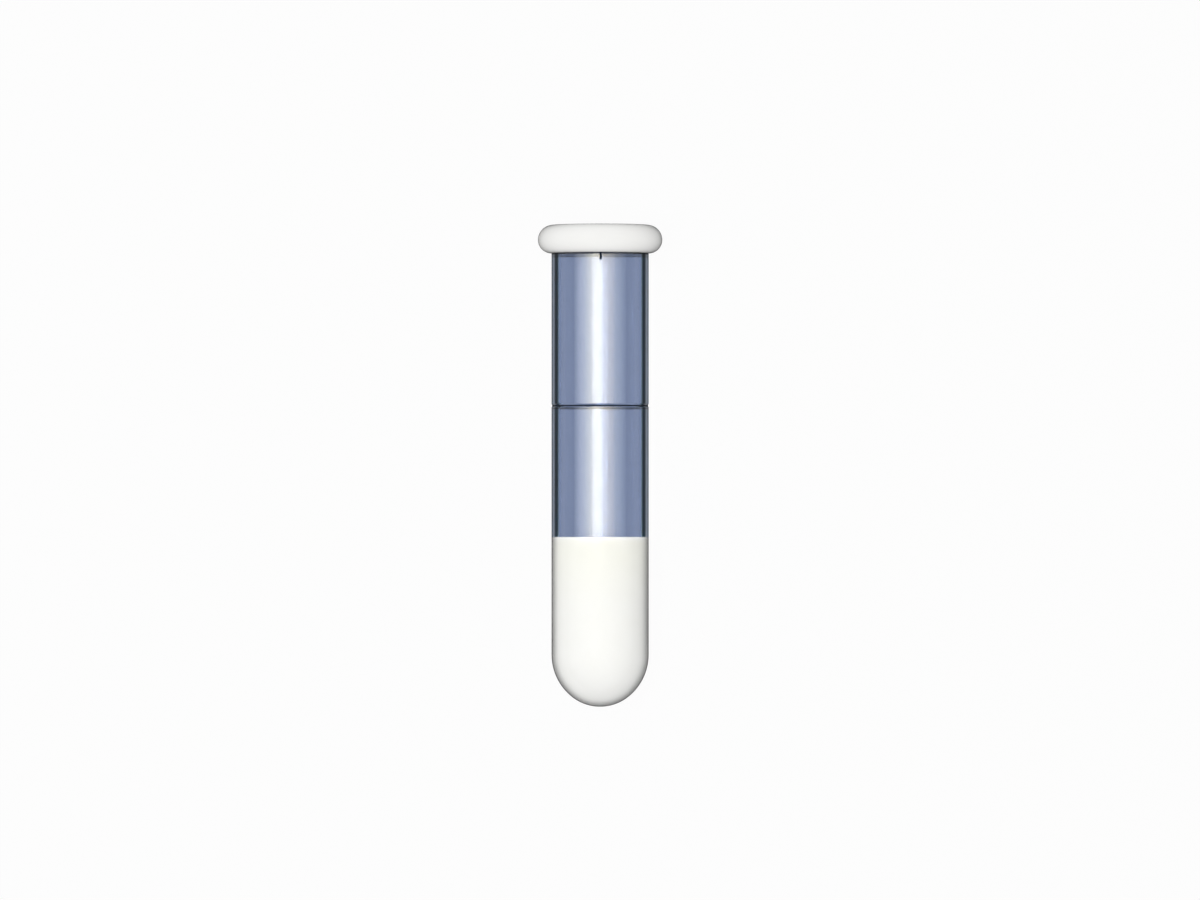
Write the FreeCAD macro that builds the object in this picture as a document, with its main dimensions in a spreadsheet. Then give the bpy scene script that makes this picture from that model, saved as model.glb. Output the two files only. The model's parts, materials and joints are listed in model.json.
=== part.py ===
# A capped glass digestion tube for 50 mL, with white contents settled in its round bottom.
#
# Each piece is drawn upright along its own Z, from the round bottom at zero to the cap.
# The finished pieces then lie on their side, as the closed tube comes to rest on a bench:
# cap towards +Y, touching the surface with the cap's edge and the round bottom's shoulder.

import FreeCAD, Part
import os
import Sketcher

doc = FreeCAD.newDocument("digestion_tube")

# Driving sizes in millimetres

sheet = doc.addObject("Spreadsheet::Sheet", "Sizes")
SIZES = {
    # Glass tube
    "tube_diameter": "30.0",
    "wall_thickness": "1.4",
    "tube_length": "146.0",
    "bottom_stretch": "1.1",  # how much deeper the round bottom is than a half ball
    "tip_tightening": "1.0",  # how much smaller the tip's radius is than the tube's
    # Ring ground round the tube as its fill mark
    "mark_height": "93.0",
    "mark_width": "1.0",
    "mark_depth": "0.2",
    # Short upright tick engraved under the cap
    "tick_gap": "0.4",
    "tick_length": "2.3",
    "tick_width": "0.5",
    "tick_depth": "0.15",
    # Cap pushed over the rim
    "cap_diameter": "38.4",
    "cap_thickness": "8.4",
    "cap_top_rounding": "4.0",
    "rim_insertion": "5.6",
    "cap_clearance": "0.1",
    "slot_lead_in": "0.3",
    # Contents
    "fill_height": "52.7",
    "fill_clearance": "0.05",
}
for row, (alias, value) in enumerate(SIZES.items(), start=1):
    sheet.set(f"A{row}", alias)
    sheet.set(f"B{row}", value)
    sheet.setAlias(f"B{row}", alias)
doc.recompute()

# How far a cutting outline reaches past the surface that it opens
OVERSHOOT = 0.5

# Sizes that follow from the sheet, each an expression on it

form = doc.addObject("App::VarSet", "Form")
FOLLOWING = {
    # The round bottom is two arcs: a tight tip on the axis and a wide shoulder up to the wall.
    "tube_radius": "Sizes.tube_diameter / 2",
    "bore_radius": "Form.tube_radius - Sizes.wall_thickness",
    "bottom_depth": "Form.tube_radius + Sizes.bottom_stretch",
    "tip_radius": "Form.tube_radius - Sizes.tip_tightening",
    "shoulder_offset": (
        "(Sizes.bottom_stretch + Sizes.tip_tightening) ^ 2 / (2 * Sizes.tip_tightening)"
        " - Sizes.tip_tightening / 2"
    ),
    "shoulder_radius": "Form.tube_radius + Form.shoulder_offset",
    # The rim is polished fully round, so its centre lies half a wall below its top.
    "rim_rounding": "Sizes.wall_thickness / 2",
    "rim_centre_radius": "Form.tube_radius - Form.rim_rounding",
    "rim_centre_height": "Sizes.tube_length - Form.rim_rounding",
    # The cap's edge is two roundings that meet at its widest circle.
    "cap_radius": "Sizes.cap_diameter / 2",
    "cap_underside": "Sizes.tube_length - Sizes.rim_insertion",
    "cap_low_rounding": "Sizes.cap_thickness - Sizes.cap_top_rounding",
    "cap_widest_height": "Form.cap_underside + Form.cap_low_rounding",
    "tick_top": "Form.cap_underside - Sizes.tick_gap",
}
for alias, rule in FOLLOWING.items():
    form.addProperty("App::PropertyFloat", alias)
    form.setExpression(alias, rule)

# How the closed tube lies: its lean is the slope of the line that touches both the cap's
# lower rounding and the round bottom's shoulder. The shift puts its middle over the origin.
rest = doc.addObject("App::VarSet", "Rest")
rest.addProperty("App::PropertyAngle", "lean")
LYING = {
    "reach_out": "Form.cap_radius - Form.cap_low_rounding + Form.shoulder_offset",
    "reach_along": "Form.cap_widest_height - Form.bottom_depth",
    "reach": "sqrt(Rest.reach_out ^ 2 + Rest.reach_along ^ 2)",
    "lean": (
        "acos((Form.shoulder_radius - Form.cap_low_rounding) / Rest.reach)"
        " - atan(Rest.reach_along / Rest.reach_out)"
    ),
    "tip_height": (
        "Form.shoulder_radius - Form.shoulder_offset * cos(Rest.lean)"
        " - Form.bottom_depth * sin(Rest.lean)"
    ),
    "cap_end": (
        "(Form.cap_radius - Sizes.cap_top_rounding) * sin(Rest.lean)"
        " + Form.cap_widest_height * cos(Rest.lean) + Sizes.cap_top_rounding"
    ),
    "bottom_end": "Form.tip_radius * (cos(Rest.lean) - 1)",
    "tip_shift": "-(Rest.cap_end + Rest.bottom_end) / 2",
}
for alias, rule in LYING.items():
    if alias != "lean":
        rest.addProperty("App::PropertyFloat", alias)
    rest.setExpression(alias, rule)
doc.recompute()

# Helpers for the half outlines, whose x is the distance from the axis and y the height

ORIGIN = (-1, 1)


def new_body(label):
    body = doc.addObject("PartDesign::Body", label)
    body.Label = label
    return body


def new_sketch(body, name):
    """Adds a sketch on the body's own upright plane, seen from the front."""
    sketch = body.newObject("Sketcher::SketchObject", name)
    planes = body.Origin.OriginFeatures
    sketch.AttachmentSupport = [(plane, "") for plane in planes if plane.Role == "XZ_Plane"]
    sketch.MapMode = "FlatFace"
    return sketch


def line(start, end):
    return Part.LineSegment(FreeCAD.Vector(*start, 0), FreeCAD.Vector(*end, 0))


def arc(centre, start, end):
    """Draws a round stretch counter-clockwise from start to end."""
    middle = FreeCAD.Vector(*centre, 0)
    first = FreeCAD.Vector(*start, 0) - middle
    last = FreeCAD.Vector(*end, 0) - middle
    circle = Part.Circle(middle, FreeCAD.Vector(0, 0, 1), first.Length)
    return Part.ArcOfCircle(circle, circle.parameter(middle + first), circle.parameter(middle + last))


def closed_outline(sketch, edges, smooth_after):
    """Draws the edges and joins each to the next, smoothly after the ones that are named."""
    index = {name: sketch.addGeometry(edge, False) for name, edge in edges.items()}
    names = list(edges)
    for name, following in zip(names, names[1:] + names[:1]):
        here, there = index[name], index[following]
        end, start = min(
            [(end, start) for end in (1, 2) for start in (1, 2)],
            key=lambda ends: sketch.getPoint(here, ends[0]).distanceToPoint(sketch.getPoint(there, ends[1])),
        )
        kind = "Tangent" if name in smooth_after else "Coincident"
        sketch.addConstraint(Sketcher.Constraint(kind, here, end, there, start))
    return index


def hold(sketch, kind, *where):
    sketch.addConstraint(Sketcher.Constraint(kind, *where))


def keep_on_axis(sketch, edge, point):
    """Keeps an edge's point on the sketch's own upright axis, whose number is -2."""
    hold(sketch, "PointOnObject", edge, point, -2)


def dimension(sketch, name, rule, kind, *where):
    """Adds a measured constraint whose value follows the sizes."""
    value = float(sketch.evalExpression(rule))
    number = sketch.addConstraint(Sketcher.Constraint(kind, *where, value))
    sketch.renameConstraint(number, name)
    sketch.setExpression(f"Constraints.{name}", rule)


def revolve(body, kind, name, sketch):
    """Turns a half outline right round the body's axis, to add or to cut."""
    feature = body.newObject(kind, name)
    feature.Profile = sketch
    feature.ReferenceAxis = (sketch, ["V_Axis"])
    feature.Angle = 360
    return feature


# Tube: blown and drawn in one piece, with the same wall from the round bottom to the rim

tube = new_body("tube")
wall_outline = new_sketch(tube, "tube_wall")

centre_of_tip = (0, form.tip_radius)
centre_of_shoulder = (-form.shoulder_offset, form.bottom_depth)
slant = FreeCAD.Vector(*centre_of_tip, 0) - FreeCAD.Vector(*centre_of_shoulder, 0)
slant.normalize()


def on_tip(radius):
    """The point where the tip's arc of this radius runs into the shoulder's."""
    return (slant.x * radius, form.tip_radius + slant.y * radius)


inner_tip_radius = form.tip_radius - sheet.wall_thickness
glass = closed_outline(
    wall_outline,
    {
        "outer_tip": arc(centre_of_tip, (0, 0), on_tip(form.tip_radius)),
        "outer_shoulder": arc(
            centre_of_shoulder, on_tip(form.tip_radius), (form.tube_radius, form.bottom_depth)
        ),
        "outer_wall": line(
            (form.tube_radius, form.bottom_depth), (form.tube_radius, form.rim_centre_height)
        ),
        "rim": arc(
            (form.rim_centre_radius, form.rim_centre_height),
            (form.tube_radius, form.rim_centre_height),
            (form.bore_radius, form.rim_centre_height),
        ),
        "inner_wall": line(
            (form.bore_radius, form.rim_centre_height), (form.bore_radius, form.bottom_depth)
        ),
        "inner_shoulder": arc(
            centre_of_shoulder, on_tip(inner_tip_radius), (form.bore_radius, form.bottom_depth)
        ),
        "inner_tip": arc(centre_of_tip, (0, sheet.wall_thickness), on_tip(inner_tip_radius)),
        "axis": line((0, sheet.wall_thickness), (0, 0)),
    },
    smooth_after=["outer_tip", "outer_shoulder", "outer_wall", "rim", "inner_wall", "inner_shoulder"],
)
hold(wall_outline, "Coincident", glass["outer_tip"], 1, *ORIGIN)
hold(wall_outline, "Vertical", glass["axis"])
hold(wall_outline, "Vertical", glass["outer_wall"])
hold(wall_outline, "Vertical", glass["inner_wall"])
keep_on_axis(wall_outline, glass["outer_tip"], 3)
hold(wall_outline, "Coincident", glass["inner_tip"], 3, glass["outer_tip"], 3)
hold(wall_outline, "Coincident", glass["inner_shoulder"], 3, glass["outer_shoulder"], 3)
dimension(wall_outline, "outer_radius", "Form.tube_radius", "DistanceX", *ORIGIN, glass["outer_wall"], 1)
dimension(wall_outline, "bottom_depth", "Form.bottom_depth", "DistanceY", *ORIGIN, glass["outer_wall"], 1)
dimension(wall_outline, "tip_radius", "Form.tip_radius", "Radius", glass["outer_tip"])
dimension(wall_outline, "bore_radius", "Form.bore_radius", "DistanceX", *ORIGIN, glass["inner_wall"], 2)
dimension(wall_outline, "rim_centre", "Form.rim_centre_height", "DistanceY", *ORIGIN, glass["rim"], 3)
plain_glass = revolve(tube, "PartDesign::Revolution", "tube_glass", wall_outline)

# Fill mark: a shallow rounded ring, ground into the outside all the way round

ring_outline = new_sketch(tube, "mark_outline")
half_mark = sheet.mark_width / 2
mark_top = sheet.mark_height + half_mark
mark_foot = sheet.mark_height - half_mark
mark_bow = (half_mark ** 2 + sheet.mark_depth ** 2) / (2 * sheet.mark_depth)
outside = form.tube_radius + OVERSHOOT
ring = closed_outline(
    ring_outline,
    {
        "hollow": arc(
            (form.tube_radius - sheet.mark_depth + mark_bow, sheet.mark_height),
            (form.tube_radius, mark_top),
            (form.tube_radius, mark_foot),
        ),
        "foot": line((form.tube_radius, mark_foot), (outside, mark_foot)),
        "back": line((outside, mark_foot), (outside, mark_top)),
        "head": line((outside, mark_top), (form.tube_radius, mark_top)),
    },
    smooth_after=[],
)
hold(ring_outline, "Horizontal", ring["foot"])
hold(ring_outline, "Vertical", ring["back"])
hold(ring_outline, "Horizontal", ring["head"])
hold(ring_outline, "Vertical", ring["hollow"], 1, ring["hollow"], 2)
dimension(
    ring_outline, "foot_height", "Sizes.mark_height - Sizes.mark_width / 2",
    "DistanceY", *ORIGIN, ring["foot"], 1,
)
dimension(ring_outline, "mark_width", "Sizes.mark_width", "DistanceY", ring["back"], 1, ring["back"], 2)
dimension(ring_outline, "surface", "Form.tube_radius", "DistanceX", *ORIGIN, ring["foot"], 1)
dimension(
    ring_outline, "outside", f"Form.tube_radius + {OVERSHOOT}", "DistanceX", *ORIGIN, ring["back"], 1
)
dimension(
    ring_outline, "bow",
    "(Sizes.mark_width ^ 2 / 4 + Sizes.mark_depth ^ 2) / (2 * Sizes.mark_depth)",
    "Radius", ring["hollow"],
)
marked_glass = revolve(tube, "PartDesign::Groove", "fill_mark", ring_outline)

# Tick: a short upright line engraved just below the cap. It is on the side that ends up on
# top when the tube lies down.

tick_outline = new_sketch(tube, "tick_outline")
tick_outline.setExpression("AttachmentOffset.Base.z", "Form.tube_radius - Sizes.tick_depth")
half_tick = sheet.tick_width / 2
tick_foot = form.tick_top - sheet.tick_length
tick_low = tick_foot + half_tick
tick_high = form.tick_top - half_tick
tick = closed_outline(
    tick_outline,
    {
        "right": line((half_tick, tick_low), (half_tick, tick_high)),
        "top": arc((0, tick_high), (half_tick, tick_high), (-half_tick, tick_high)),
        "left": line((-half_tick, tick_high), (-half_tick, tick_low)),
        "foot": arc((0, tick_low), (-half_tick, tick_low), (half_tick, tick_low)),
    },
    smooth_after=["right", "top", "left", "foot"],
)
hold(tick_outline, "Vertical", tick["right"])
hold(tick_outline, "Vertical", tick["left"])
keep_on_axis(tick_outline, tick["top"], 3)
dimension(tick_outline, "width", "Sizes.tick_width / 2", "Radius", tick["top"])
dimension(
    tick_outline, "high", "Form.tick_top - Sizes.tick_width / 2", "DistanceY", *ORIGIN, tick["top"], 3
)
dimension(
    tick_outline, "span", "Sizes.tick_length - Sizes.tick_width",
    "DistanceY", tick["foot"], 3, tick["top"], 3,
)
tick_cut = tube.newObject("PartDesign::Pocket", "tick")
tick_cut.Profile = tick_outline
tick_cut.Reversed = True
tick_cut.setExpression("Length", f"Sizes.tick_depth + {OVERSHOOT}")

# Contents: a settled white body that follows the inside of the round bottom to a flat top

sample = new_body("sample")
fill_outline = new_sketch(sample, "fill_outline")
fill_tip_radius = inner_tip_radius - sheet.fill_clearance
fill_radius = form.bore_radius - sheet.fill_clearance
fill_bottom = form.tip_radius - fill_tip_radius
fill = closed_outline(
    fill_outline,
    {
        "tip": arc(centre_of_tip, (0, fill_bottom), on_tip(fill_tip_radius)),
        "shoulder": arc(centre_of_shoulder, on_tip(fill_tip_radius), (fill_radius, form.bottom_depth)),
        "side": line((fill_radius, form.bottom_depth), (fill_radius, sheet.fill_height)),
        "top": line((fill_radius, sheet.fill_height), (0, sheet.fill_height)),
        "axis": line((0, sheet.fill_height), (0, fill_bottom)),
    },
    smooth_after=["tip", "shoulder"],
)
hold(fill_outline, "Vertical", fill["axis"])
hold(fill_outline, "Vertical", fill["side"])
hold(fill_outline, "Horizontal", fill["top"])
keep_on_axis(fill_outline, fill["axis"], 1)
keep_on_axis(fill_outline, fill["tip"], 3)
dimension(
    fill_outline, "side_radius", "Form.bore_radius - Sizes.fill_clearance",
    "DistanceX", *ORIGIN, fill["side"], 1,
)
dimension(fill_outline, "bottom_depth", "Form.bottom_depth", "DistanceY", *ORIGIN, fill["side"], 1)
dimension(fill_outline, "tip_centre", "Form.tip_radius", "DistanceY", *ORIGIN, fill["tip"], 3)
dimension(
    fill_outline, "tip_radius", "Form.tip_radius - Sizes.wall_thickness - Sizes.fill_clearance",
    "Radius", fill["tip"],
)
dimension(fill_outline, "fill_height", "Sizes.fill_height", "DistanceY", *ORIGIN, fill["axis"], 1)
revolve(sample, "PartDesign::Revolution", "settled_contents", fill_outline)

# Cap: a solid disc with a flat top and a fully rounded edge

cap = new_body("cap")
disc_outline = new_sketch(cap, "disc_outline")
cap_top = form.cap_underside + sheet.cap_thickness
low_flat = form.cap_radius - form.cap_low_rounding
top_flat = form.cap_radius - sheet.cap_top_rounding
disc = closed_outline(
    disc_outline,
    {
        "underside": line((0, form.cap_underside), (low_flat, form.cap_underside)),
        "low_edge": arc(
            (low_flat, form.cap_widest_height),
            (low_flat, form.cap_underside),
            (form.cap_radius, form.cap_widest_height),
        ),
        "top_edge": arc(
            (top_flat, form.cap_widest_height),
            (form.cap_radius, form.cap_widest_height),
            (top_flat, cap_top),
        ),
        "top": line((top_flat, cap_top), (0, cap_top)),
        "axis": line((0, cap_top), (0, form.cap_underside)),
    },
    smooth_after=["underside", "low_edge", "top_edge"],
)
hold(disc_outline, "Horizontal", disc["underside"])
hold(disc_outline, "Horizontal", disc["top"])
hold(disc_outline, "Vertical", disc["axis"])
keep_on_axis(disc_outline, disc["axis"], 1)
hold(disc_outline, "Horizontal", disc["low_edge"], 3, disc["top_edge"], 3)
dimension(disc_outline, "underside_height", "Form.cap_underside", "DistanceY", *ORIGIN, disc["underside"], 1)
dimension(disc_outline, "widest", "Form.cap_radius", "DistanceX", *ORIGIN, disc["low_edge"], 2)
dimension(disc_outline, "low_rounding", "Form.cap_low_rounding", "Radius", disc["low_edge"])
dimension(disc_outline, "top_rounding", "Sizes.cap_top_rounding", "Radius", disc["top_edge"])
plain_disc = revolve(cap, "PartDesign::Revolution", "cap_disc", disc_outline)

# Rim slot: a ring turned into the underside, which leaves a flush boss inside the tube's mouth.
# The rim's round top stops at its flat floor, and its mouth flares a little so that the rim
# finds it.

slot_outline = new_sketch(cap, "slot_outline")
slot_inside = form.bore_radius - sheet.cap_clearance
slot_outside = form.tube_radius + sheet.cap_clearance
mouth_inside = slot_inside - sheet.slot_lead_in
mouth_outside = slot_outside + sheet.slot_lead_in
slot_floor = sheet.tube_length + sheet.cap_clearance
flare_top = form.cap_underside + sheet.slot_lead_in
below = form.cap_underside - OVERSHOOT
slot = closed_outline(
    slot_outline,
    {
        "foot": line((mouth_inside, below), (mouth_outside, below)),
        "mouth_outside": line((mouth_outside, below), (mouth_outside, form.cap_underside)),
        "flare_outside": line((mouth_outside, form.cap_underside), (slot_outside, flare_top)),
        "outside": line((slot_outside, flare_top), (slot_outside, slot_floor)),
        "floor": line((slot_outside, slot_floor), (slot_inside, slot_floor)),
        "inside": line((slot_inside, slot_floor), (slot_inside, flare_top)),
        "flare_inside": line((slot_inside, flare_top), (mouth_inside, form.cap_underside)),
        "mouth_inside": line((mouth_inside, form.cap_underside), (mouth_inside, below)),
    },
    smooth_after=[],
)
hold(slot_outline, "Horizontal", slot["foot"])
hold(slot_outline, "Horizontal", slot["floor"])
for edge in ("mouth_outside", "mouth_inside", "outside", "inside"):
    hold(slot_outline, "Vertical", slot[edge])
hold(slot_outline, "Horizontal", slot["flare_outside"], 2, slot["flare_inside"], 1)
hold(slot_outline, "Horizontal", slot["flare_outside"], 1, slot["flare_inside"], 2)
dimension(
    slot_outline, "outside_radius", "Form.tube_radius + Sizes.cap_clearance",
    "DistanceX", *ORIGIN, slot["outside"], 1,
)
dimension(
    slot_outline, "inside_radius", "Form.bore_radius - Sizes.cap_clearance",
    "DistanceX", *ORIGIN, slot["inside"], 1,
)
dimension(
    slot_outline, "floor_height", "Sizes.tube_length + Sizes.cap_clearance",
    "DistanceY", *ORIGIN, slot["floor"], 1,
)
dimension(
    slot_outline, "mouth_height", "Form.cap_underside", "DistanceY", *ORIGIN, slot["flare_outside"], 1
)
dimension(
    slot_outline, "flare_height", "Sizes.slot_lead_in",
    "DistanceY", slot["flare_outside"], 1, slot["flare_outside"], 2,
)
dimension(
    slot_outline, "flare_outwards", "Sizes.slot_lead_in",
    "DistanceX", slot["flare_outside"], 2, slot["flare_outside"], 1,
)
dimension(
    slot_outline, "flare_inwards", "Sizes.slot_lead_in",
    "DistanceX", slot["flare_inside"], 2, slot["flare_inside"], 1,
)
dimension(
    slot_outline, "foot_depth", f"Form.cap_underside - {OVERSHOOT}",
    "DistanceY", *ORIGIN, slot["foot"], 1,
)
revolve(cap, "PartDesign::Groove", "rim_slot", slot_outline)

# Every piece takes the same resting place, so that they stay seated in each other

for body in (tube, sample, cap):
    body.Placement = FreeCAD.Placement(
        FreeCAD.Vector(0, 0, 0), FreeCAD.Rotation(FreeCAD.Vector(1, 0, 0), -90)
    )
    body.setExpression("Placement.Rotation.Angle", "Rest.lean - 90 deg")
    body.setExpression("Placement.Base.y", "Rest.tip_shift")
    body.setExpression("Placement.Base.z", "Rest.tip_height")
doc.recompute()

# Nothing is written unless every step of the model held

for thing in doc.Objects:
    for state in thing.State:
        if state in ("Invalid", "Error"):
            raise RuntimeError(f"{thing.Name} did not compute")

if not tube.Shape.Volume < marked_glass.Shape.Volume < plain_glass.Shape.Volume:
    raise RuntimeError("the fill mark or the tick cut nothing")
if not cap.Shape.Volume < plain_disc.Shape.Volume:
    raise RuntimeError("the rim slot cut nothing")

os.makedirs("parts", exist_ok=True)
for body in (tube, sample, cap):
    if body.Shape.isNull() or not body.Shape.isValid():
        raise RuntimeError(f"{body.Label} has no valid shape")
    body.Shape.exportStep(f"parts/{body.Label}.step")
    print(body.Label, "holds", round(body.Shape.Volume), "cubic millimetres")
print("the tube leans up by", rest.lean)
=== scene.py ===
import json
import math

import bpy
from mathutils import Euler, Matrix, Vector


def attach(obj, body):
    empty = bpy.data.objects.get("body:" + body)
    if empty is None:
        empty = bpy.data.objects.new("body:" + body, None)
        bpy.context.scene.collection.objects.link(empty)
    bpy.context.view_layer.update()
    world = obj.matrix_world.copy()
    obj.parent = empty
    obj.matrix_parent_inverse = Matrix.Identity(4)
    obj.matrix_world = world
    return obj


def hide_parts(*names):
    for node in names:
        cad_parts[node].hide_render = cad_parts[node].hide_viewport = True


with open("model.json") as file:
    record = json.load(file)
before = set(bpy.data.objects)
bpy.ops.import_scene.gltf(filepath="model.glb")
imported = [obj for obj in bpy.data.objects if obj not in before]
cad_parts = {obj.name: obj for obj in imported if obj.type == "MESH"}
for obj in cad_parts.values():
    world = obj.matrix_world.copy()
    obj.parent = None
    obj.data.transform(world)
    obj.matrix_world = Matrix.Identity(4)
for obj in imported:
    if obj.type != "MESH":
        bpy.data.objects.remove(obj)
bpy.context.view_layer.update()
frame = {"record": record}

# Glass tube: drawn borosilicate tube, its foot blown round and its open rim fire polished.
# A ring is ground round it as the 50 mL mark, and a short tick is engraved below the cap.
# It is turned upright here from a half profile, in millimetres, and then laid down.

MM = 0.001
TUBE_RADIUS = 15.0
BORE_RADIUS = 13.6
WALL = TUBE_RADIUS - BORE_RADIUS
TIP_CENTRE = (0.0, 14.0)
TIP_RADIUS = 14.0
TIP_STEPS = 14
SHOULDER_CENTRE = (-1.705, 16.1)
SHOULDER_RADIUS = 16.705
SHOULDER_STEPS = 18
TIP_TURN = 90 - math.degrees(
    math.atan2(SHOULDER_CENTRE[1] - TIP_CENTRE[1], TIP_CENTRE[0] - SHOULDER_CENTRE[0])
)
SHOULDER_TURN = 90 - TIP_TURN
TIP_ENDS = TIP_CENTRE[1] - TIP_RADIUS * math.cos(math.radians(TIP_TURN))
MARK_HEIGHT = 93.0
MARK_WIDTH = 1.0
MARK_DEPTH = 0.2
MARK_LINE = (92.695, 93.105)
TICK_FOOT = 137.7
TICK_TOP = 140.0
TICK_DEPTH = 0.15
RIM_HEIGHT = 146.0
SEAM_GAP = 0.002
TUBE_SMOOTH_BELOW = 20
FILL_HEIGHT = 52.4
# With this many faces round the tube, one of them is as wide as the tick and lies under it
TUBE_FACES = 135
FACE_WIDTH = 2 * TUBE_RADIUS * math.sin(math.pi / TUBE_FACES)

CAP_TOP = 148.8
long_way = Vector(frame["record"]["behaviour"]["joints"][0]["axis"])
cap_face = next(m for m in frame["record"]["mounts"] if m["name"] == "cap_top")
tube_foot = Vector(cap_face["pos_m"]) - long_way * CAP_TOP * MM
lean = math.atan2(long_way.z, long_way.y)
turned_down = Euler((lean - math.pi / 2, 0.0, 0.0))


def start_profile(name, across, up):
    """The first point of a half profile, left selected in edit mode."""
    bpy.ops.object.select_all(action="DESELECT")
    bpy.ops.mesh.primitive_plane_add(size=MM)
    piece = bpy.context.active_object
    piece.name = name
    bpy.ops.object.mode_set(mode="EDIT")
    bpy.ops.mesh.merge(type="CENTER")
    bpy.ops.transform.translate(value=(across * MM, 0, up * MM))
    return piece


def draw_line(across, up, steps=1):
    """Draws on from the last point by this much across and up."""
    for _ in range(steps):
        bpy.ops.mesh.extrude_region_move(
            TRANSFORM_OT_translate={"value": (across * MM / steps, 0, up * MM / steps)}
        )


def draw_arc(centre, turn, steps):
    """Draws on round a centre, by a turn in degrees that is positive anticlockwise."""
    bpy.ops.mesh.spin(
        steps=steps,
        angle=math.radians(turn),
        center=(centre[0] * MM, 0, centre[1] * MM),
        axis=(0, 1, 0),
    )


def turn_on_lathe():
    """Turns the drawn half profile once round the long way, and closes its seam and poles."""
    bpy.ops.mesh.select_all(action="SELECT")
    bpy.ops.mesh.spin(steps=TUBE_FACES, angle=2 * math.pi, center=(0, 0, 0), axis=(0, 0, 1))
    bpy.ops.mesh.select_all(action="SELECT")
    bpy.ops.mesh.remove_doubles(threshold=SEAM_GAP * MM)
    bpy.ops.mesh.normals_make_consistent(inside=False)
    bpy.ops.mesh.select_all(action="DESELECT")
    bpy.ops.object.mode_set(mode="OBJECT")


def lay_down(piece, smooth_below):
    """Shades the piece, and lays it where the frame has it, with its place in its mesh."""
    bpy.ops.object.select_all(action="DESELECT")
    piece.select_set(True)
    bpy.context.view_layer.objects.active = piece
    bpy.ops.object.shade_smooth_by_angle(angle=math.radians(smooth_below))
    piece.matrix_world = Matrix.LocRotScale(tube_foot, turned_down, None)
    bpy.ops.object.transform_apply(location=True, rotation=True, scale=True)


tube = start_profile("glass_tube", 0, 0)
draw_arc(TIP_CENTRE, TIP_TURN, TIP_STEPS)
draw_arc(SHOULDER_CENTRE, SHOULDER_TURN, SHOULDER_STEPS)
mark_foot = MARK_HEIGHT - MARK_WIDTH / 2
mark_top = MARK_HEIGHT + MARK_WIDTH / 2
mark_bow = (MARK_WIDTH ** 2 / 4 + MARK_DEPTH ** 2) / (2 * MARK_DEPTH)
mark_turn = 2 * math.degrees(math.asin(MARK_WIDTH / 2 / mark_bow))
rim_centre = (TUBE_RADIUS - WALL / 2, RIM_HEIGHT - WALL / 2)
draw_line(0, mark_foot - SHOULDER_CENTRE[1], steps=4)
draw_arc((TUBE_RADIUS - MARK_DEPTH + mark_bow, MARK_HEIGHT), -mark_turn, steps=10)
draw_line(0, TICK_FOOT - mark_top, steps=3)
draw_line(0, TICK_TOP - TICK_FOOT)
draw_line(0, rim_centre[1] - TICK_TOP)
draw_arc(rim_centre, 180, steps=14)
draw_line(0, SHOULDER_CENTRE[1] - rim_centre[1], steps=6)
draw_arc(SHOULDER_CENTRE, -SHOULDER_TURN, SHOULDER_STEPS)
draw_arc(TIP_CENTRE, -TIP_TURN, TIP_STEPS)
turn_on_lathe()


def is_outside(centre):
    """Whether a face of the tube is on its outside, by where the middle of the wall runs."""
    across = math.hypot(centre.x, centre.y)
    if centre.z > SHOULDER_CENTRE[1]:
        return across > TUBE_RADIUS - WALL / 2
    if centre.z < TIP_ENDS:
        return math.hypot(across, centre.z - TIP_CENTRE[1]) > TIP_RADIUS - WALL / 2
    from_shoulder = math.hypot(across - SHOULDER_CENTRE[0], centre.z - SHOULDER_CENTRE[1])
    return from_shoulder > SHOULDER_RADIUS - WALL / 2


def is_by_tick(centre):
    """Whether a face is at the tick's own place, on the outside that looks up."""
    near = abs(centre.x) < FACE_WIDTH and centre.y < 0
    return near and TICK_FOOT - TICK_DEPTH < centre.z < TICK_TOP + TICK_DEPTH


# The tick: the one face under it is sunk into the wall
for face in tube.data.polygons:
    centre = face.center / MM
    face.select = (
        is_by_tick(centre) and is_outside(centre) and abs(centre.x) < FACE_WIDTH / 2
    )
bpy.ops.object.mode_set(mode="EDIT")
bpy.ops.mesh.extrude_region_move(TRANSFORM_OT_translate={"value": (0, TICK_DEPTH * MM, 0)})
bpy.ops.mesh.select_all(action="DESELECT")
bpy.ops.object.mode_set(mode="OBJECT")

# The tube's glass is clear over the contents and blue grey above them. Its outside is painted
# darker, as painted shade, where the wall is seen edge on. Just under the cap it has a band of
# painted shade for the cap's underside seen through the glass and a painted contact shadow
# along the cap's edge, and just below the ring a painted dark line for the ring's far side.

CLEAR_GLASS = (0.97, 0.975, 0.965, 1)
BLUE_GREY_GLASS = (0.435, 0.49, 0.62, 1)
BOROSILICATE_IOR = 1.474
FIRE_POLISH = 0.03
GLASS_CHANGES = (FILL_HEIGHT - 0.1, FILL_HEIGHT + 0.1)
# Two bands, in millimetres up the tube, with their shades and roughness from foot to top.
# Under the cap the shades are painted shade: a band for the cap's underside seen through the
# glass, and a dark painted contact shadow along the cap's edge.
UNDER_CAP_BAND = (138.5, 140.15)
UNDER_CAP_PAINTED_SHADE = [
    (0.0, 1),
    (0.1, 0.36),
    (0.22, 0.36),
    (0.32, 0.5),
    (0.6, 0.5),
    (0.7, 0.08),
    (0.98, 0.08),
    (1.0, 1),
]
UNDER_CAP_ROUGH = [(0.56, FIRE_POLISH), (0.7, 0.92), (0.98, 0.92), (1.0, FIRE_POLISH)]
# A painted dark line just below the ring, standing in for the ring's far side seen through the
# glass
RING_FAR_SIDE_LINE = (91.85, 92.3)
RING_FAR_SIDE_SHADE = [(0.0, 1), (0.3, 0.1), (0.7, 0.1), (1.0, 1)]
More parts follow.
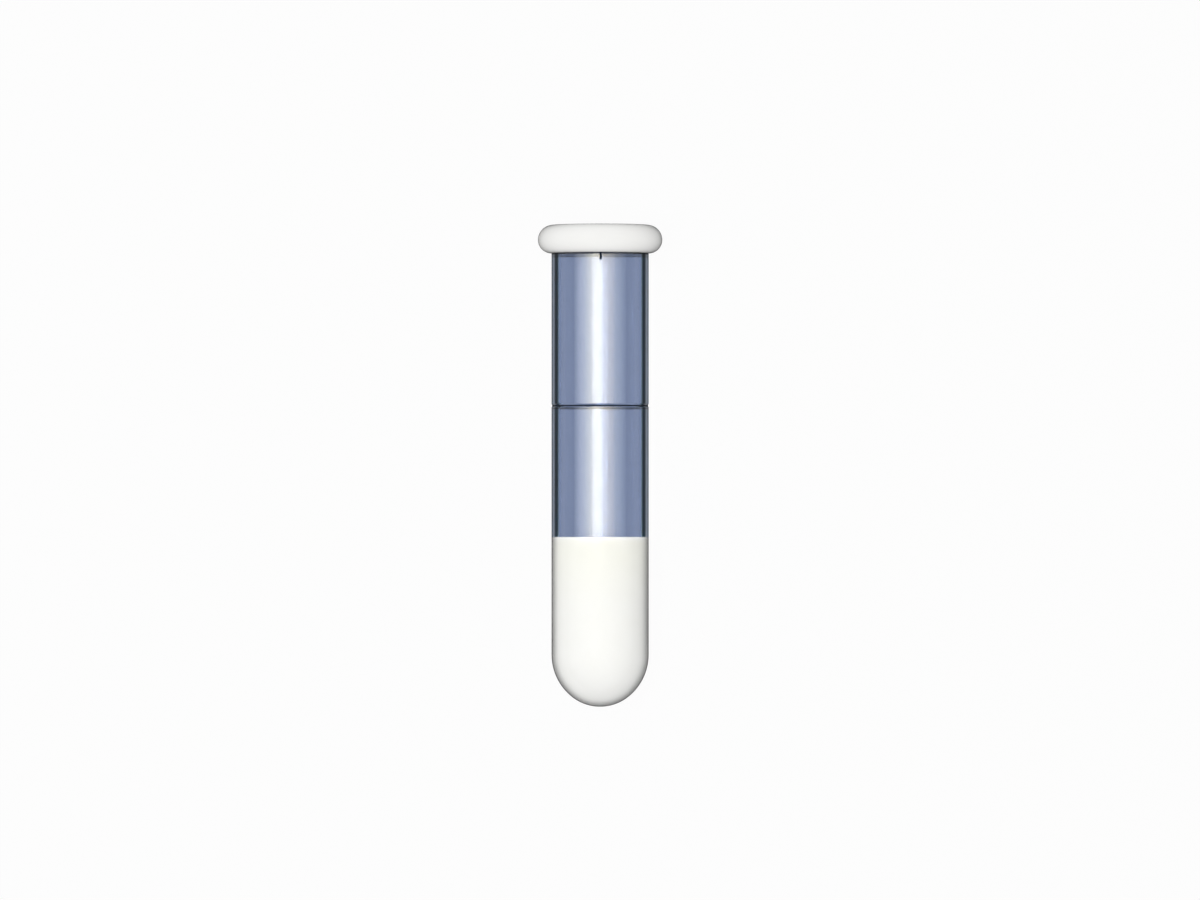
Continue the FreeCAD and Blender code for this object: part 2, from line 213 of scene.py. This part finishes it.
# The outside's tint and roughness, from the middle of the tube at 0 to its very edge at 1,
# where the white contents lie behind it and where the empty bore does. The tints are painted
# shade: over the contents they darken the contents' rim, and over the bore they paint the dark
# and lighter bands at the bore's edges.
EDGE_ON_WHITE = [(0.40, 1), (0.49, 0.94), (0.57, 0.67), (0.67, 0.29), (0.80, 0.03)]
ROUGH_ON_WHITE = [(0.72, FIRE_POLISH), (0.88, 0.7)]
EDGE_OF_BORE = [
    (0.26, (1, 1, 1, 1)),
    (0.33, (0.88, 0.89, 0.93, 1)),
    (0.38, (0.81, 0.84, 0.88, 1)),
    (0.424, (0.58, 0.67, 0.84, 1)),
    (0.4875, (0.185, 0.336, 0.40, 1)),
    (0.505, (0.02, 0.12, 0.15, 1)),
    (0.53, (0, 0.01, 0.03, 1)),
    (0.61, (0, 0.01, 0.03, 1)),
    (0.66, (0.09, 0.18, 0.24, 1)),
    (0.70, (0.25, 0.33, 0.42, 1)),
    (0.77, (0.10, 0.20, 0.30, 1)),
    (0.85, (0, 0.05, 0.15, 1)),
]
ROUGH_OF_BORE = [
    (0.45, FIRE_POLISH),
    (0.52, 0.85),
    (0.61, 0.85),
    (0.67, 0.3),
    (0.78, 0.3),
    (0.88, 0.8),
]
# The view's slant is taken out down to this, where the tube is seen straight from an end
LEAST_ACROSS = 0.05
# A face this far inside the outside radius, in millimetres, lies in the ring or the tick
LEAST_SUNK = 0.01


def new_material(name):
    """An empty material, with its nodes, links and output."""
    made = bpy.data.materials.new(name)
    made.use_nodes = True
    made.node_tree.nodes.clear()
    out = made.node_tree.nodes.new("ShaderNodeOutputMaterial")
    return made, made.node_tree.nodes, made.node_tree.links, out


def along_the_tube(nodes, links):
    """Object coordinates turned to the tube's own: Z runs up it from the foot, in metres."""
    place = nodes.new("ShaderNodeTexCoord")
    own = nodes.new("ShaderNodeMapping")
    own.vector_type = "TEXTURE"
    own.inputs["Location"].default_value = tube_foot
    own.inputs["Rotation"].default_value = turned_down
    links.new(place.outputs["Object"], own.inputs["Vector"])
    split = nodes.new("ShaderNodeSeparateXYZ")
    links.new(own.outputs["Vector"], split.inputs[0])
    return own.outputs["Vector"], split.outputs["Z"]


def up_the_band(nodes, links, height, band):
    """Runs from 0 at a band's foot to 1 at its top, both in millimetres up the tube."""
    share = nodes.new("ShaderNodeMapRange")
    share.inputs["From Min"].default_value = band[0] * MM
    share.inputs["From Max"].default_value = band[1] * MM
    links.new(height, share.inputs["Value"])
    return share.outputs["Result"]


def colour_ramp(nodes, links, along, stops):
    """Colours, or greys given as one number, at set places along a value from 0 to 1."""
    ramp = nodes.new("ShaderNodeValToRGB")
    while len(ramp.color_ramp.elements) < len(stops):
        ramp.color_ramp.elements.new(1)
    for element, (position, shade) in zip(ramp.color_ramp.elements, stops):
        element.position = position
        element.color = shade if isinstance(shade, tuple) else (shade, shade, shade, 1)
    links.new(along, ramp.inputs["Fac"])
    return ramp.outputs["Color"]


def feed(links, sources, sockets):
    """Links nodes' outputs into sockets, and sets a socket where a plain value is given."""
    for source, socket in zip(sources, sockets):
        if isinstance(source, bpy.types.NodeSocket):
            links.new(source, socket)
        else:
            socket.default_value = source


def mix_colours(nodes, links, share, first, second, blend="MIX"):
    """Goes from one colour to another by a share, or blends both."""
    mix = nodes.new("ShaderNodeMix")
    mix.data_type = "RGBA"
    mix.blend_type = blend
    feed(links, (share, first, second), (mix.inputs[0], mix.inputs[6], mix.inputs[7]))
    return mix.outputs[2]


def work_out(nodes, links, operation, *values):
    """One step of arithmetic on plain numbers or nodes' outputs."""
    step = nodes.new("ShaderNodeMath")
    step.operation = operation
    feed(links, values, step.inputs)
    return step.outputs[0]


def seen_edge_on(nodes, links):
    """Runs from 0 where the wall is seen square across the tube to 1 at its very edge.

    The slant between the view and the tube's long way is taken out, so that the glass stays
    clear in the middle when the tube is seen from one of its ends.
    """
    square = nodes.new("ShaderNodeLayerWeight")
    square.inputs["Blend"].default_value = 0.5
    axis = nodes.new("ShaderNodeCombineXYZ")
    feed(links, long_way, axis.inputs)
    turned = nodes.new("ShaderNodeVectorTransform")
    turned.convert_from = "OBJECT"
    turned.convert_to = "WORLD"
    links.new(axis.outputs[0], turned.inputs[0])
    end_on = nodes.new("ShaderNodeLayerWeight")
    end_on.inputs["Blend"].default_value = 0.5
    links.new(turned.outputs[0], end_on.inputs["Normal"])
    along = work_out(nodes, links, "SUBTRACT", 1, end_on.outputs["Facing"])
    along = work_out(nodes, links, "MULTIPLY", along, along)
    across = work_out(nodes, links, "SUBTRACT", 1, along)
    across = work_out(nodes, links, "SQRT", across)
    across = work_out(nodes, links, "MAXIMUM", across, LEAST_ACROSS)
    towards = work_out(nodes, links, "SUBTRACT", 1, square.outputs["Facing"])
    towards = work_out(nodes, links, "DIVIDE", towards, across)
    towards = work_out(nodes, links, "MINIMUM", towards, 1)
    return work_out(nodes, links, "SUBTRACT", 1, towards)


def mix_shaders(nodes, links, share, first, second):
    """Goes from one shader to another by a share."""
    both = nodes.new("ShaderNodeMixShader")
    for source, socket in zip((share, first, second), both.inputs):
        links.new(source, socket)
    return both.outputs[0]


def add_relief(nodes, links, shader, height, strength, depth):
    """A fine relief on a shader from a height pattern, with its depth in millimetres."""
    bump = nodes.new("ShaderNodeBump")
    bump.inputs["Strength"].default_value = strength
    bump.inputs["Distance"].default_value = depth * MM
    links.new(height, bump.inputs["Height"])
    links.new(bump.outputs["Normal"], shader.inputs["Normal"])


# The uneven surface that glass, contents and cap all have, each at its own scale
unevenness = bpy.data.node_groups.new("unevenness", "ShaderNodeTree")
for label, kind, usual in (
    ("Vector", "NodeSocketVector", None),
    ("Stretch", "NodeSocketVector", (1, 1, 1)),
    ("Scale", "NodeSocketFloat", 100),
    ("Detail", "NodeSocketFloat", 2),
    ("Lowest", "NodeSocketFloat", 0),
    ("Highest", "NodeSocketFloat", 1),
    ("Low Colour", "NodeSocketColor", (1, 1, 1, 1)),
    ("High Colour", "NodeSocketColor", (1, 1, 1, 1)),
):
    socket = unevenness.interface.new_socket(label, in_out="INPUT", socket_type=kind)
    if usual is not None:
        socket.default_value = usual
unevenness.interface.new_socket("Colour", in_out="OUTPUT", socket_type="NodeSocketColor")
unevenness.interface.new_socket("Height", in_out="OUTPUT", socket_type="NodeSocketFloat")
nodes, links = unevenness.nodes, unevenness.links
given = nodes.new("NodeGroupInput")
result = nodes.new("NodeGroupOutput")
stretched = nodes.new("ShaderNodeMapping")
links.new(given.outputs["Vector"], stretched.inputs["Vector"])
links.new(given.outputs["Stretch"], stretched.inputs["Scale"])
noise = nodes.new("ShaderNodeTexNoise")
links.new(stretched.outputs["Vector"], noise.inputs["Vector"])
links.new(given.outputs["Scale"], noise.inputs["Scale"])
links.new(given.outputs["Detail"], noise.inputs["Detail"])
links.new(noise.outputs["Fac"], result.inputs["Height"])
spread = nodes.new("ShaderNodeMapRange")
links.new(noise.outputs["Fac"], spread.inputs["Value"])
links.new(given.outputs["Lowest"], spread.inputs["From Min"])
links.new(given.outputs["Highest"], spread.inputs["From Max"])
shade = mix_colours(
    nodes, links, spread.outputs["Result"],
    given.outputs["Low Colour"], given.outputs["High Colour"],
)
links.new(shade, result.inputs["Colour"])


def place_unevenness(nodes, links, own, values):
    """The shared unevenness in one material, with that material's own values."""
    placed = nodes.new("ShaderNodeGroup")
    placed.node_tree = unevenness
    links.new(own, placed.inputs["Vector"])
    for label, value in values.items():
        placed.inputs[label].default_value = value
    return placed.outputs


def glass_material(name, outside):
    """The tube's glass, for its outside or for its bore."""
    made, nodes, links, out = new_material(name)
    own, height = along_the_tube(nodes, links)
    glass = nodes.new("ShaderNodeBsdfPrincipled")
    glass.distribution = "GGX"
    glass.inputs["Transmission Weight"].default_value = 1
    glass.inputs["IOR"].default_value = BOROSILICATE_IOR
    glass.inputs["Roughness"].default_value = FIRE_POLISH
    above = up_the_band(nodes, links, height, GLASS_CHANGES)
    colour = mix_colours(nodes, links, above, CLEAR_GLASS, BLUE_GREY_GLASS)
    if outside:
        # Painted shade at the wall's edges, set by how edge on the wall is seen
        edge_on = seen_edge_on(nodes, links)
        edge, rough = [
            mix_colours(
                nodes, links, above,
                colour_ramp(nodes, links, edge_on, on_white),
                colour_ramp(nodes, links, edge_on, of_bore),
            )
            for on_white, of_bore in (
                (EDGE_ON_WHITE, EDGE_OF_BORE),
                (ROUGH_ON_WHITE, ROUGH_OF_BORE),
            )
        ]
        # Painted shade under the cap darkens the glass's colour here
        under_cap = up_the_band(nodes, links, height, UNDER_CAP_BAND)
        # The painted line for the ring's far side seen through the glass
        far_side_share = up_the_band(nodes, links, height, RING_FAR_SIDE_LINE)
        for darkened in (
            edge,
            colour_ramp(nodes, links, under_cap, UNDER_CAP_PAINTED_SHADE),
            colour_ramp(nodes, links, far_side_share, RING_FAR_SIDE_SHADE),
        ):
            colour = mix_colours(nodes, links, 1, colour, darkened, "MULTIPLY")
        dull = colour_ramp(nodes, links, under_cap, UNDER_CAP_ROUGH)
        rough = mix_colours(nodes, links, 1, rough, dull, "LIGHTEN")
        links.new(rough, glass.inputs["Roughness"])
    links.new(colour, glass.inputs["Base Color"])
    draw_lines = place_unevenness(nodes, links, own, {"Scale": 60, "Stretch": (1, 1, 0.2)})
    add_relief(nodes, links, glass, draw_lines["Height"], strength=0.25, depth=0.1)
    lets_light = nodes.new("ShaderNodeBsdfTransparent")
    rays = nodes.new("ShaderNodeLightPath")
    surface = glass.outputs[0]
    for ray in ("Is Shadow Ray", "Is Diffuse Ray"):
        surface = mix_shaders(nodes, links, rays.outputs[ray], surface, lets_light.outputs[0])
    links.new(surface, out.inputs["Surface"])
    return made


bore_glass = glass_material("borosilicate_bore", outside=False)
outside_glass = glass_material("drawn_borosilicate", outside=True)

# The ring and the tick are ground glass with dark stain rubbed in
ground, nodes, links, out = new_material("stained_ground_glass")
own, height = along_the_tube(nodes, links)
stain = nodes.new("ShaderNodeBsdfPrincipled")
stain.inputs["Roughness"].default_value = 0.8
stain.inputs["Specular IOR Level"].default_value = 0.05
pits = place_unevenness(nodes, links, own, {
    "Scale": 2500,
    "Lowest": 0.3,
    "Highest": 0.7,
    "Low Colour": (0.006, 0.010, 0.020, 1),
    "High Colour": (0.018, 0.026, 0.040, 1),
})
links.new(pits["Colour"], stain.inputs["Base Color"])
add_relief(nodes, links, stain, pits["Height"], strength=0.2, depth=0.02)
links.new(stain.outputs[0], out.inputs["Surface"])


def is_ground(centre):
    """Whether a face of the tube is on the floor of the ring or in the tick."""
    in_ring = MARK_LINE[0] < centre.z < MARK_LINE[1]
    sunk = math.hypot(centre.x, centre.y) < TUBE_RADIUS - LEAST_SUNK
    return sunk and is_outside(centre) and (in_ring or is_by_tick(centre))


for material in (bore_glass, outside_glass, ground):
    tube.data.materials.append(material)
for face in tube.data.polygons:
    centre = face.center / MM
    face.material_index = 2 if is_ground(centre) else 1 if is_outside(centre) else 0
lay_down(tube, TUBE_SMOOTH_BELOW)
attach(tube, "tube")
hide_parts("tube")

# Contents: a white body that has settled into the round foot, up to a flat top.
# It fills the bore with no gap, so the glass shows it right out to the wall.

PRESSED_IN = 0.06
FILL_RADIUS = BORE_RADIUS + PRESSED_IN
FILL_ROUNDING = 0.3
FILL_SMOOTH_BELOW = 30
# The contents' colour up from the foot: creamier towards the top, and white along the very top
# edge as a painted highlight
FILL_TONES_AND_HIGHLIGHT = [
    (0.0, (0.955, 0.955, 0.945, 1)),
    (0.6, (0.955, 0.955, 0.935, 1)),
    (0.9, (0.955, 0.955, 0.905, 1)),
    (0.97, (0.955, 0.955, 0.905, 1)),
    (1.0, (1, 1, 1, 1)),
]
contents = start_profile("settled_contents", 0, WALL - PRESSED_IN)
draw_arc(TIP_CENTRE, TIP_TURN, TIP_STEPS)
draw_arc(SHOULDER_CENTRE, SHOULDER_TURN, SHOULDER_STEPS)
draw_line(0, FILL_HEIGHT - FILL_ROUNDING - SHOULDER_CENTRE[1])
draw_arc((FILL_RADIUS - FILL_ROUNDING, FILL_HEIGHT - FILL_ROUNDING), 90, steps=4)
draw_line(FILL_ROUNDING - FILL_RADIUS, 0, steps=6)
turn_on_lathe()

white, nodes, links, out = new_material("settled_white")
own, height = along_the_tube(nodes, links)
matte = nodes.new("ShaderNodeBsdfPrincipled")
matte.inputs["Roughness"].default_value = 0.7
matte.inputs["Diffuse Roughness"].default_value = 0.6
mottled = place_unevenness(nodes, links, own, {
    "Scale": 220,
    "Detail": 3,
    "Lowest": 0.3,
    "Highest": 0.7,
    "Low Colour": (0.985, 0.985, 0.98, 1),
})
settled = up_the_band(nodes, links, height, (0, FILL_HEIGHT))
cream = colour_ramp(nodes, links, settled, FILL_TONES_AND_HIGHLIGHT)
cream = mix_colours(nodes, links, 1, cream, mottled["Colour"], "MULTIPLY")
links.new(cream, matte.inputs["Base Color"])
add_relief(nodes, links, matte, mottled["Height"], strength=0.2, depth=0.1)
links.new(matte.outputs[0], out.inputs["Surface"])
contents.data.materials.append(white)
lay_down(contents, FILL_SMOOTH_BELOW)
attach(contents, "tube")
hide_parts("sample")

# Cap: a turned fluoropolymer disc with a fully rounded edge, pushed over the rim by hand.
# A ring-shaped slot in its underside takes the rim, round a flush boss.

CAP_RADIUS = 19.2
CAP_UNDERSIDE = 140.05
CAP_TOP_ROUNDING = 4.6
CAP_LOW_ROUNDING = 4.15
CAP_WIDEST = CAP_TOP - CAP_TOP_ROUNDING
SLOT_CLEARANCE = 0.1
SLOT_LEAD_IN = 0.3
CAP_EDGE_STEPS = 16
CAP_SMOOTH_BELOW = 30
slot_outside = TUBE_RADIUS + SLOT_CLEARANCE
slot_inside = BORE_RADIUS - SLOT_CLEARANCE
slot_floor = RIM_HEIGHT + SLOT_CLEARANCE
slot_mouth = slot_outside + SLOT_LEAD_IN
lead_in_ends = CAP_UNDERSIDE + SLOT_LEAD_IN
top_centre = (CAP_RADIUS - CAP_TOP_ROUNDING, CAP_WIDEST)
low_centre = (CAP_RADIUS - CAP_LOW_ROUNDING, CAP_WIDEST)
low_turn = 90 - math.degrees(math.asin((slot_mouth - low_centre[0]) / CAP_LOW_ROUNDING))
mouth_height = CAP_WIDEST - CAP_LOW_ROUNDING * math.sin(math.radians(low_turn))

cap = start_profile("push_on_cap", 0, CAP_TOP)
draw_line(top_centre[0], 0, steps=6)
draw_arc(top_centre, -90, CAP_EDGE_STEPS)
draw_arc(low_centre, -low_turn, CAP_EDGE_STEPS)
draw_line(slot_outside - slot_mouth, lead_in_ends - mouth_height)
draw_line(0, slot_floor - lead_in_ends)
draw_line(slot_inside - slot_outside, 0)
draw_line(0, lead_in_ends - slot_floor)
draw_line(-SLOT_LEAD_IN, -SLOT_LEAD_IN)
draw_line(SLOT_LEAD_IN - slot_inside, 0, steps=5)
turn_on_lathe()

# The coat is grey but does not refract, so it only shades the rounded edge
polymer, nodes, links, out = new_material("satin_fluoropolymer")
own, height = along_the_tube(nodes, links)
satin = nodes.new("ShaderNodeBsdfPrincipled")
satin.inputs["Roughness"].default_value = 0.45
satin.inputs["Diffuse Roughness"].default_value = 0.8
satin.inputs["IOR"].default_value = 1.38
satin.inputs["Specular IOR Level"].default_value = 0.08
satin.inputs["Coat Weight"].default_value = 1
satin.inputs["Coat Roughness"].default_value = 0.5
satin.inputs["Coat IOR"].default_value = 1
satin.inputs["Coat Tint"].default_value = (0.89, 0.89, 0.89, 1)
clouds = place_unevenness(nodes, links, own, {
    "Scale": 90,
    "Detail": 3,
    "Low Colour": (0.945, 0.942, 0.925, 1),
    "High Colour": (0.975, 0.975, 0.965, 1),
})
links.new(clouds["Colour"], satin.inputs["Base Color"])
turning_grain = place_unevenness(nodes, links, own, {"Scale": 2500})
add_relief(nodes, links, satin, turning_grain["Height"], strength=0.2, depth=0.02)
links.new(satin.outputs[0], out.inputs["Surface"])
cap.data.materials.append(polymer)
lay_down(cap, CAP_SMOOTH_BELOW)
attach(cap, "cap")
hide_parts("cap")

# Bench: a plain white sheet that the closed tube lies on. It looks white to the camera and
# through the glass, and takes a soft shadow.

BENCH_SIZE = 6
BENCH_GREY = (0.6, 0.6, 0.6, 1)
BENCH_WHITENESS = 0.95
bpy.ops.object.select_all(action="DESELECT")
bpy.ops.mesh.primitive_plane_add(size=BENCH_SIZE)
bench = bpy.context.active_object
bench.name = "bench"
paper, nodes, links, out = new_material("white_bench")
seen = nodes.new("ShaderNodeEmission")
seen.inputs["Color"].default_value = (1, 1, 1, 1)
seen.inputs["Strength"].default_value = 1
lit = nodes.new("ShaderNodeBsdfDiffuse")
lit.inputs["Color"].default_value = BENCH_GREY
rays = nodes.new("ShaderNodeLightPath")
straight = work_out(
    nodes, links, "MAXIMUM", rays.outputs["Is Camera Ray"], rays.outputs["Is Transmission Ray"]
)
white_share = work_out(nodes, links, "MULTIPLY", straight, BENCH_WHITENESS)
surface = mix_shaders(nodes, links, white_share, lit.outputs[0], seen.outputs[0])
links.new(surface, out.inputs["Surface"])
bench.data.materials.append(paper)

# Studio: an even white room, one broad softbox overhead and a strip that the glass mirrors.
# The strip is brightest a little left of the middle, and fades out to both of its ends.

ROOM_LIGHT = 0.39
SOFTBOX_PLACE = (-0.27, 0.0, 2.2)
SOFTBOX_SIZE = (1.0, 1.0)
SOFTBOX_POWER = 33.5
# The strip's near end is where the glass mirrors it down to the top of the contents
STRIP_HEIGHT = 0.8
STRIP_WIDTH = 3.2
STRIP_ENDS = (-0.0484, 0.13)
STRIP_POWER = 24
STRIP_FADE = [
    (0.0, (0.035, 0.04, 0.05, 1)),
    (0.13, (0.14, 0.145, 0.15, 1)),
    (0.30, (0.33, 0.33, 0.315, 1)),
    (0.383, (0.54, 0.51, 0.405, 1)),
    (0.44, (0.80, 0.72, 0.52, 1)),
    (0.469, (0.76, 0.67, 0.44, 1)),
    (0.522, (0.52, 0.45, 0.28, 1)),
    (0.562, (0.44, 0.37, 0.245, 1)),
    (0.617, (0.354, 0.315, 0.24, 1)),
    (0.695, (0.174, 0.167, 0.131, 1)),
    (0.87, (0.07, 0.077, 0.084, 1)),
    (1.0, (0.035, 0.04, 0.05, 1)),
]
room = bpy.data.worlds.new("white_room")
bpy.context.scene.world = room
room.use_nodes = True
nodes, links = room.node_tree.nodes, room.node_tree.links
nodes.clear()
out = nodes.new("ShaderNodeOutputWorld")
walls = nodes.new("ShaderNodeBackground")
walls.inputs["Color"].default_value = (1, 1, 1, 1)
walls.inputs["Strength"].default_value = ROOM_LIGHT
shown = nodes.new("ShaderNodeBackground")
shown.inputs["Color"].default_value = (1, 1, 1, 1)
shown.inputs["Strength"].default_value = 1
rays = nodes.new("ShaderNodeLightPath")
surface = mix_shaders(
    nodes, links, rays.outputs["Is Camera Ray"], walls.outputs[0], shown.outputs[0]
)
links.new(surface, out.inputs["Surface"])


def hang_lamp(name, place, size, power):
    """A rectangular soft lamp that points straight down, unseen by the camera."""
    bpy.ops.object.light_add(type="AREA", location=place)
    lamp = bpy.context.active_object
    lamp.name = name
    lamp.data.shape = "RECTANGLE"
    lamp.data.size, lamp.data.size_y = size
    lamp.data.energy = power
    lamp.visible_camera = False
    return lamp


softbox = hang_lamp("softbox", SOFTBOX_PLACE, SOFTBOX_SIZE, SOFTBOX_POWER)
softbox.visible_glossy = False
strip_place = (0, sum(STRIP_ENDS) / 2, STRIP_HEIGHT)
strip_size = (STRIP_WIDTH, STRIP_ENDS[1] - STRIP_ENDS[0])
strip = hang_lamp("strip", strip_place, strip_size, STRIP_POWER)
strip.visible_diffuse = False
strip.data.use_nodes = True
nodes, links = strip.data.node_tree.nodes, strip.data.node_tree.links
nodes.clear()
out = nodes.new("ShaderNodeOutputLight")
glow = nodes.new("ShaderNodeEmission")
where = nodes.new("ShaderNodeNewGeometry")
split = nodes.new("ShaderNodeSeparateXYZ")
links.new(where.outputs["Parametric"], split.inputs[0])
fade = colour_ramp(nodes, links, split.outputs["X"], STRIP_FADE)
links.new(fade, glow.inputs["Color"])
links.new(glow.outputs[0], out.inputs["Surface"])

# Camera: square above the tube, with the tube's cap at the top of the picture. Its place is
# in pixels of the picture, which is taken to be 1200 by 900.

PHOTO_WIDTH = 1200
PHOTO_HEIGHT = 900
PIXEL = 0.3089
AXIS_COLUMN = 600.1
FOOT_ROW = 706.7
LEVEL_ROW = 540
DISTANCE = 10000
SENSOR_WIDTH = 36
upwards = Vector((0, -math.sin(lean), math.cos(lean)))
faced = tube_foot + long_way * (FOOT_ROW - LEVEL_ROW) * PIXEL * MM
bpy.ops.object.camera_add(location=faced + upwards * DISTANCE * PIXEL * MM)
camera = bpy.context.active_object
camera.name = "camera"
camera.rotation_euler = (lean, 0, 0)
camera.data.sensor_width = SENSOR_WIDTH
camera.data.lens = SENSOR_WIDTH * DISTANCE / PHOTO_WIDTH
camera.data.shift_y = (LEVEL_ROW - PHOTO_HEIGHT / 2) / PHOTO_WIDTH
camera.data.shift_x = (PHOTO_WIDTH / 2 - AXIS_COLUMN) / PHOTO_WIDTH
camera.data.clip_start = 0.1
camera.data.clip_end = 20
bpy.context.scene.camera = camera
bpy.context.scene.view_settings.view_transform = "Standard"
